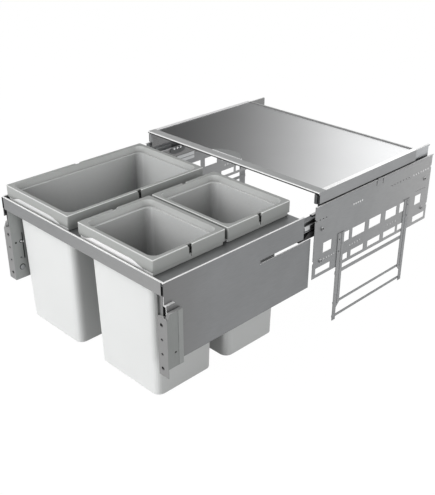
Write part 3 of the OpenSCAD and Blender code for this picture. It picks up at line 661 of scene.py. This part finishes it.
# Stainless cover; the grip's rim is a painted highlight and the rear lip's front is painted shade
cover_steel = sheet_steel("cover_stainless", (0.74, 0.745, 0.75), BRUSHED_X, 0.3, 1.0,
                          fine_share=0.06, relief=0.02, cloud=0.01)
grip_steel = sheet_steel("grip_stainless", (0.38, 0.39, 0.39), BRUSHED_X, 0.35, 0.3, dark=0.8,
                         painted=[(FLAT_UP, 0.95)])
lip_steel = sheet_steel("lip_stainless", (0.56, 0.57, 0.57), BRUSHED_X, 0.35, 0.2,
                        painted=[(FRONT, 0.24)])
trim_steel = rolled_trim("trim_stainless")
# Plastic: black for the stops and as painted shade, and white as painted highlights
cage_grey = moulded("cage_grey", (0.17, 0.175, 0.18), 0.4, gap=0.01)
black_plastic_and_shade = moulded("black_plastic_and_shade", (0.01, 0.01, 0.011), 0.5)
glint_white = moulded("painted_glint", (0.95, 0.95, 0.95), 0.2, dark=0.9)

wear(plate_zinc, ["side_plate_right"])
wear(plate_left, ["side_plate_left"])
wear(leg_zinc, both("leg_front", "leg_rear", "leg_tie", "leg_stays"))
wear(panel_zinc, ["carrier_panel_right"])
wear(panel_left, ["carrier_panel_left"])
wear(deck_zinc, ["carrier_deck", "carrier_rear_band"])
wear(band_zinc, ["carrier_front_band"])
wear(bracket_zinc, ["door_bracket_right"])
wear(bracket_left, ["door_bracket_left"])
wear(rail_steel, both("rail_support", "inner_rail") + ["outer_rail_right", "cover_rail_right"])
wear(rail_left, ["outer_rail_left", "cover_rail_left"])
wear(track_steel, both("middle_rail"))
wear(adjuster_steel, both("bracket_adjusters"))
wear(cover_steel, ["cover_sheet"])
wear(grip_steel, ["cover_grip"])
wear(trim_steel, ["cover_front_trim"])
wear(lip_steel, ["cover_rear_lip"])
wear(profile_left, ["cover_profile_left"])
wear(profile_right, ["cover_profile_right"])
wear(black_plastic_and_shade, both("rail_stop"))
COLLARS = ["collar_large", "collar_small_front", "collar_small_rear"]
for name in BIN_LOOKS:
    wear(bin_material(name), [name])
for name in COLLARS:
    wear(collar_material(name), [name])

soften(BIN_LOOKS, 0.7 * MM)
soften(COLLARS, 1.0 * MM)
soften(both("door_bracket", "carrier_panel", "cover_profile") + ["carrier_front_band"], 0.35 * MM)
soften(["cover_grip"], 0.9 * MM)


# Small pieces that the CAD solids leave out
BALL_SEGMENTS = 16
BALL_RINGS = 10
PIECE_BEVEL = 0.3


def rectangle(low_a, low_b, high_a, high_b):
    return [(low_a, low_b), (high_a, low_b), (high_a, high_b), (low_a, high_b)]


def add_bar(work, outline, axis, start, end):
    """Adds a bar to a bmesh: its section is drawn in the other two axes, all in mm."""
    others = [a for a in range(3) if a != axis]
    ring = []
    for first, second in outline:
        point = Vector((0, 0, 0))
        point[others[0]] = first * MM
        point[others[1]] = second * MM
        point[axis] = start * MM
        ring.append(work.verts.new(point))
    made = bmesh.ops.extrude_face_region(work, geom=[work.faces.new(ring)])
    shift = Vector((0, 0, 0))
    shift[axis] = (end - start) * MM
    moved = [v for v in made["geom"] if isinstance(v, bmesh.types.BMVert)]
    bmesh.ops.translate(work, verts=moved, vec=shift)


def add_ball(work, place, radius, thick=1):
    """Adds a ball to a bmesh, flattened sideways by thick, in mm."""
    grow = Matrix.Diagonal((radius * MM * thick, radius * MM, radius * MM, 1))
    at = Matrix.Translation(Vector(place) * MM)
    bmesh.ops.create_uvsphere(work, u_segments=BALL_SEGMENTS, v_segments=BALL_RINGS, radius=1,
                              matrix=at @ grow)


def new_mesh(name, work, material):
    """Turns a bmesh into a mesh with one material."""
    mesh = bpy.data.meshes.new(name)
    work.to_mesh(mesh)
    work.free()
    mesh.materials.append(material)
    return mesh


def finish_piece(name, work, body, material, side=1, width=PIECE_BEVEL):
    """Turns a bmesh into a piece that rides on a body; side -1 mirrors it to the left."""
    bmesh.ops.scale(work, verts=work.verts, vec=(side, 1, 1))
    bmesh.ops.recalc_face_normals(work, faces=work.faces)
    piece = place_object(name, new_mesh(name, work, material))
    if width:
        add_bevel(piece, width * MM, PIECE_ANGLE)
    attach(piece, body)
    return piece


def box_mm(name):
    low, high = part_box(name)
    return [v / MM for v in low], [v / MM for v in high]


# End of a cover profile: a black piece that fills the slot behind the trim as its painted shade, in
# mm from the profile's own box
SLOT_SHADE_SET_BACK = 1.4
SLOT_SHADE_DEPTH = 4.8
SLOT_SHADE_WIDTH = 8
SLOT_SHADE_TO_WALL = 1.4
SLOT_SHADE_BELOW_TOP = 8


def make_slot_shade(label, side):
    low, high = box_mm("cover_profile_right")
    work = bmesh.new()
    right = high[0] - SLOT_SHADE_TO_WALL
    front = low[1] + SLOT_SHADE_SET_BACK
    add_bar(work, rectangle(right - SLOT_SHADE_WIDTH, low[2], right, high[2] - SLOT_SHADE_BELOW_TOP), 1,
            front, front + SLOT_SHADE_DEPTH)
    finish_piece(f"profile_slot_shade_{label}", work, "cover", black_plastic_and_shade, side)


# Door bracket: a black strip behind its screw holes as their painted shade, and the raised rear part
# of its outer cheek, in mm from the bracket's own box
STRIP_FROM, STRIP_TO = 2.5, 19.5
STRIP_LOW, STRIP_HIGH = 6, 130
STRIP_DEPTH = 2.6
SHEET = 1.6
STEP_FROM = 28
STEP_RISE = 0.4
STEP_BEVEL = 0.15
CHEEK_LOW, CHEEK_HIGH = 21, 144


def make_bracket_parts(label, side):
    low, high = box_mm("door_bracket_right")
    strip = bmesh.new()
    back = low[1] + SHEET
    add_bar(strip, rectangle(low[0] + STRIP_FROM, low[2] + STRIP_LOW,
                             low[0] + STRIP_TO, low[2] + STRIP_HIGH), 1, back, back + STRIP_DEPTH)
    finish_piece(f"bracket_hole_shade_{label}", strip, "drawer", black_plastic_and_shade, side)
    step = bmesh.new()
    add_bar(step, rectangle(low[1] + STEP_FROM, low[2] + CHEEK_LOW, high[1],
                            low[2] + CHEEK_HIGH), 0, high[0], high[0] + STEP_RISE)
    finish_piece(f"bracket_step_{label}", step, "drawer", step_zinc, side,
                 STEP_BEVEL)


# The bracket's inner cheek: black discs painted as the shade of its recesses, and screw heads made
# white as painted highlights, each as depth below the face, y, z, radius and thickness share; the
# painted shade of the clamping cam's recess, and the seam behind them, in mm
RECESSES = ((0, -420.5, 195, 2.6, 0.12), (0, -407, 195, 4.2, 0.12))
HEADS = ((0.4, -407, 195, 2.2, 0.4), (0, -401.5, 193, 1.8, 0.6))
CAM_RADIUS = 7.6
CAM_THICK = 0.06
SEAM = rectangle(-403.5, 150, -401, 216)
SEAM_DEPTH = 0.3


def make_cheek_details(label, side):
    face = box_mm("door_bracket_right")[0][0]
    low, high = box_mm("bracket_adjusters_right")
    half = (high[1] - low[1]) / 2
    dark = bmesh.new()
    for depth, y, z, radius, thick in RECESSES:
        add_ball(dark, (face - depth, y, z), radius, thick)
    add_ball(dark, (face, low[1] + half, low[2] + half), CAM_RADIUS, CAM_THICK)
    add_bar(dark, SEAM, 0, face - SEAM_DEPTH, face)
    finish_piece(f"cheek_shade_and_seam_{label}", dark, "drawer", black_plastic_and_shade, side, 0)
    heads = bmesh.new()
    for depth, y, z, radius, thick in HEADS:
        add_ball(heads, (face - depth, y, z), radius, thick)
    finish_piece(f"cheek_screws_{label}", heads, "drawer", glint_white, side, 0)


# Bright pips as painted highlights in rows of the side plate's holes: start and end as shares of its
# length, count;
# their height as a share of the plate's, and how far the plate's face lies inside its box
PIP_ROWS = ((0.300, 0.370, 5), (0.830, 0.968, 7))
PIP_HEIGHT = 0.80
PIP_RADIUS = 2.5
PIP_THICK = 0.35
PLATE_INSET = 3


def make_hole_glints(label, side):
    low, high = box_mm("side_plate_right")
    length = high[1] - low[1]
    z = low[2] + PIP_HEIGHT * (high[2] - low[2])
    work = bmesh.new()
    for start, end, count in PIP_ROWS:
        for k in range(count):
            share = start + (end - start) * k / (count - 1)
            add_ball(work, (high[0] - PLATE_INSET, low[1] + share * length, z), PIP_RADIUS, PIP_THICK)
    finish_piece(f"plate_hole_glints_{label}", work, "cabinet_mount", glint_white, side, 0)


# Stop under the outer rail's front end: a wedge that runs out into the panel's passage, and the
# seat that holds it to the rail, in mm
STOP_LOW = 250.6
STOP_WEDGE = ((-44, STOP_LOW), (20, STOP_LOW), (20, 265.4), (-10, 265.4), (-24, 256), (-44, 252.2))
SEAT_FROM, SEAT_TO = 8, 20
SEAT_WIDTH = 7


def make_stop(label, side):
    low, high = box_mm("rail_stop_right")
    work = bmesh.new()
    add_bar(work, STOP_WEDGE, 0, low[0], high[0])
    add_bar(work, rectangle(SEAT_FROM, STOP_LOW, SEAT_TO, high[2]), 0, low[0], low[0] + SEAT_WIDTH)
    piece = finish_piece(f"stop_wedge_{label}", work, "cabinet_mount", black_plastic_and_shade,
                         side)
    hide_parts(f"rail_stop_{label}")


# What shows in the middle rail's open track between panel and plate, in mm
TRACK_FROM, TRACK_TO = 268, 272.4
TRACK_LOW, RIDGE_LOW, RIDGE_HIGH = 271.6, 281.2, 282.8
TRACK_BLOCK = rectangle(-24, TRACK_LOW, -6, RIDGE_LOW)
TRACK_RIDGE = rectangle(-60, RIDGE_LOW, 14, RIDGE_HIGH)
TRACK_CAGE = rectangle(-6, TRACK_LOW, 40, RIDGE_LOW)


def make_track(label, side):
    body = f"middle_rail_{label}_body"
    bars = bmesh.new()
    for outline in (TRACK_BLOCK, TRACK_RIDGE):
        add_bar(bars, outline, 0, TRACK_FROM, TRACK_TO)
    finish_piece(f"track_guide_{label}", bars, body, slide_zinc, side)
    cage = bmesh.new()
    add_bar(cage, TRACK_CAGE, 0, TRACK_FROM, TRACK_TO)
    finish_piece(f"track_cage_{label}", cage, body, black_plastic_and_shade, side)


for label, side in (("right", 1), ("left", -1)):
    make_slot_shade(label, side)
    make_bracket_parts(label, side)
    make_cheek_details(label, side)
    make_hole_glints(label, side)
    make_stop(label, side)
    make_track(label, side)


# Ball cage and fittings on the inner face of the left slide, seen under the cover, in mm
RAIL_FACE = 258.5
CAGE_FROM, CAGE_TO = 60, 112
CAGE_LOW, CAGE_HIGH = 281, 300.4
CAGE_THICK = 2.4
CAGE_CORNERS = 32
BALL_PLACES = (74, 85, 96)
BALL_BELOW_TOP = 3.4
BALL_RADIUS = 3.2
STRIPS = (rectangle(85, 253, 147, 261), rectangle(85, 263, 147, 272))
STRIP_THICK = 1
BLOCK = rectangle(30, 283, 82, 303)
BLOCK_FROM, BLOCK_TO = 18.4, 21.2


def make_left_slide():
    cage = bmesh.new()
    middle = (CAGE_FROM + CAGE_TO) / 2, (CAGE_LOW + CAGE_HIGH) / 2
    half = (CAGE_TO - CAGE_FROM) / 2, (CAGE_HIGH - CAGE_LOW) / 2
    angles = (math.tau * k / CAGE_CORNERS for k in range(CAGE_CORNERS))
    oval = [(middle[0] + half[0] * math.cos(a), middle[1] + half[1] * math.sin(a)) for a in angles]
    add_bar(cage, oval, 0, RAIL_FACE - CAGE_THICK, RAIL_FACE)
    finish_piece("ball_cage_left", cage, "cabinet_mount", cage_grey, -1)
    balls = bmesh.new()
    for y in BALL_PLACES:
        add_ball(balls, (RAIL_FACE - CAGE_THICK / 2, y, CAGE_HIGH - BALL_BELOW_TOP), BALL_RADIUS)
    finish_piece("cage_balls_left", balls, "cabinet_mount", ball_steel, -1, 0)
    strips = bmesh.new()
    for outline in STRIPS:
        add_bar(strips, outline, 0, RAIL_FACE - STRIP_THICK, RAIL_FACE)
    finish_piece("slide_strips_left", strips, "cabinet_mount", slide_zinc, -1)
    block = bmesh.new()
    add_bar(block, BLOCK, 0, RAIL_FACE + BLOCK_FROM, RAIL_FACE + BLOCK_TO)
    finish_piece("slide_block_left", block, "cabinet_mount", slide_zinc, -1)


make_left_slide()


# Floor, world and lights
# Floor: its grey, its glow to the camera and how much of it that replaces, its size and place
FLOOR_COLOUR = 0.6
FLOOR_GLOW = 1.03
FLOOR_SEEN = 0.96
FLOOR_SIZE = 12
FLOOR_CELLS = 4
FLOOR_LEVEL = -0.0005
# Surroundings as diffuse surfaces see them, low, half-way and overhead, and as others do
SKY_TONES = ((0.15, 0.6), (0.55, 0.45), (0.9, 0.3))
WHITE_GLOW = 1.02
# Graded card: its distance behind the object, its height, and its tones from left to right
CARD_BEHIND = 1.3
CARD_HEIGHT = 3.0
CARD_TONES = ((-3.4, 0.03), (-1.6, 0.05), (-1.2, 0.2), (-0.85, 0.55), (-0.6, 1.02), (-0.3, 1.4),
              (0.9, 1.35))
# Softboxes: place, target, size and power
SOFT_BOXES = {
    "key": ((-0.7, -3.2, 2.4), (0, 0, 0.2), 2.4, 90),
    "side": ((3.4, -0.4, 1.2), (0, 0, 0.2), 1.8, 30),
}


def seen_by(s, *rays):
    """1 for rays of the named kinds, 0 for others."""
    path = s.add("ShaderNodeLightPath")
    return s.any_of(*(path.outputs[f"Is {ray} Ray"] for ray in rays))


def make_floor():
    s = new_shader("floor_pale")
    lit = s.add("ShaderNodeBsdfDiffuse")
    lit.inputs["Color"].default_value = (*grey(FLOOR_COLOUR), 1)
    white = s.add("ShaderNodeEmission")
    white.inputs["Strength"].default_value = FLOOR_GLOW
    seen = s.ramp(seen_by(s, "Camera", "Glossy"), 0.0, 1.0, 0.0, FLOOR_SEEN)
    s.mix_shaders(seen, lit.outputs[0], white.outputs[0])
    work = bmesh.new()
    bmesh.ops.create_grid(work, x_segments=FLOOR_CELLS, y_segments=FLOOR_CELLS, size=FLOOR_SIZE)
    floor = place_object("floor", new_mesh("floor", work, s.owner))
    floor.location = (0, 0, FLOOR_LEVEL)


def make_world():
    world = bpy.data.worlds.new("studio")
    bpy.context.scene.world = world
    s = Shader(world, "ShaderNodeOutputWorld")
    soft = s.add("ShaderNodeBackground")
    s.link(s.grade(s.coordinate("Generated", "Z"), SKY_TONES), soft.inputs["Color"])
    white = s.add("ShaderNodeBackground")
    white.inputs["Color"].default_value = (*grey(1), 1)
    white.inputs["Strength"].default_value = WHITE_GLOW
    seen = seen_by(s, "Camera", "Glossy", "Transmission")
    s.mix_shaders(seen, soft.outputs[0], white.outputs[0])


def make_soft_box(name, place, target, size, power):
    data = bpy.data.lights.new(name, "AREA")
    data.shape = "SQUARE"
    data.size = size
    data.energy = power
    lamp = place_object(name, data)
    lamp.location = place
    aim = Vector(target) - Vector(place)
    lamp.rotation_euler = aim.to_track_quat("-Z", "Y").to_euler()
    lamp.visible_glossy = False


def make_card():
    """A graded studio card behind the object that only shows in reflections."""
    s = new_shader("graded_card")
    left, right = CARD_TONES[0][0], CARD_TONES[-1][0]
    stops = [((across - left) / (right - left), tone) for across, tone in CARD_TONES]
    glow = s.add("ShaderNodeEmission")
    s.link(s.grade(s.place("X", left, right), stops), glow.inputs["Color"])
    s.show(glow.outputs[0])
    mesh = bpy.data.meshes.new("graded_card")
    corners = [(x, CARD_BEHIND, z) for x, z in rectangle(left, 0, right, CARD_HEIGHT)]
    mesh.from_pydata(corners, [], [(0, 1, 2, 3)])
    mesh.materials.append(s.owner)
    card = place_object("graded_card", mesh)
    card.visible_camera = False
    card.visible_diffuse = False
    card.visible_transmission = False
    card.visible_shadow = False


make_floor()
make_world()
for box_name, settings in SOFT_BOXES.items():
    make_soft_box(box_name, *settings)
make_card()

view = bpy.context.scene.view_settings
view.view_transform = "Standard"
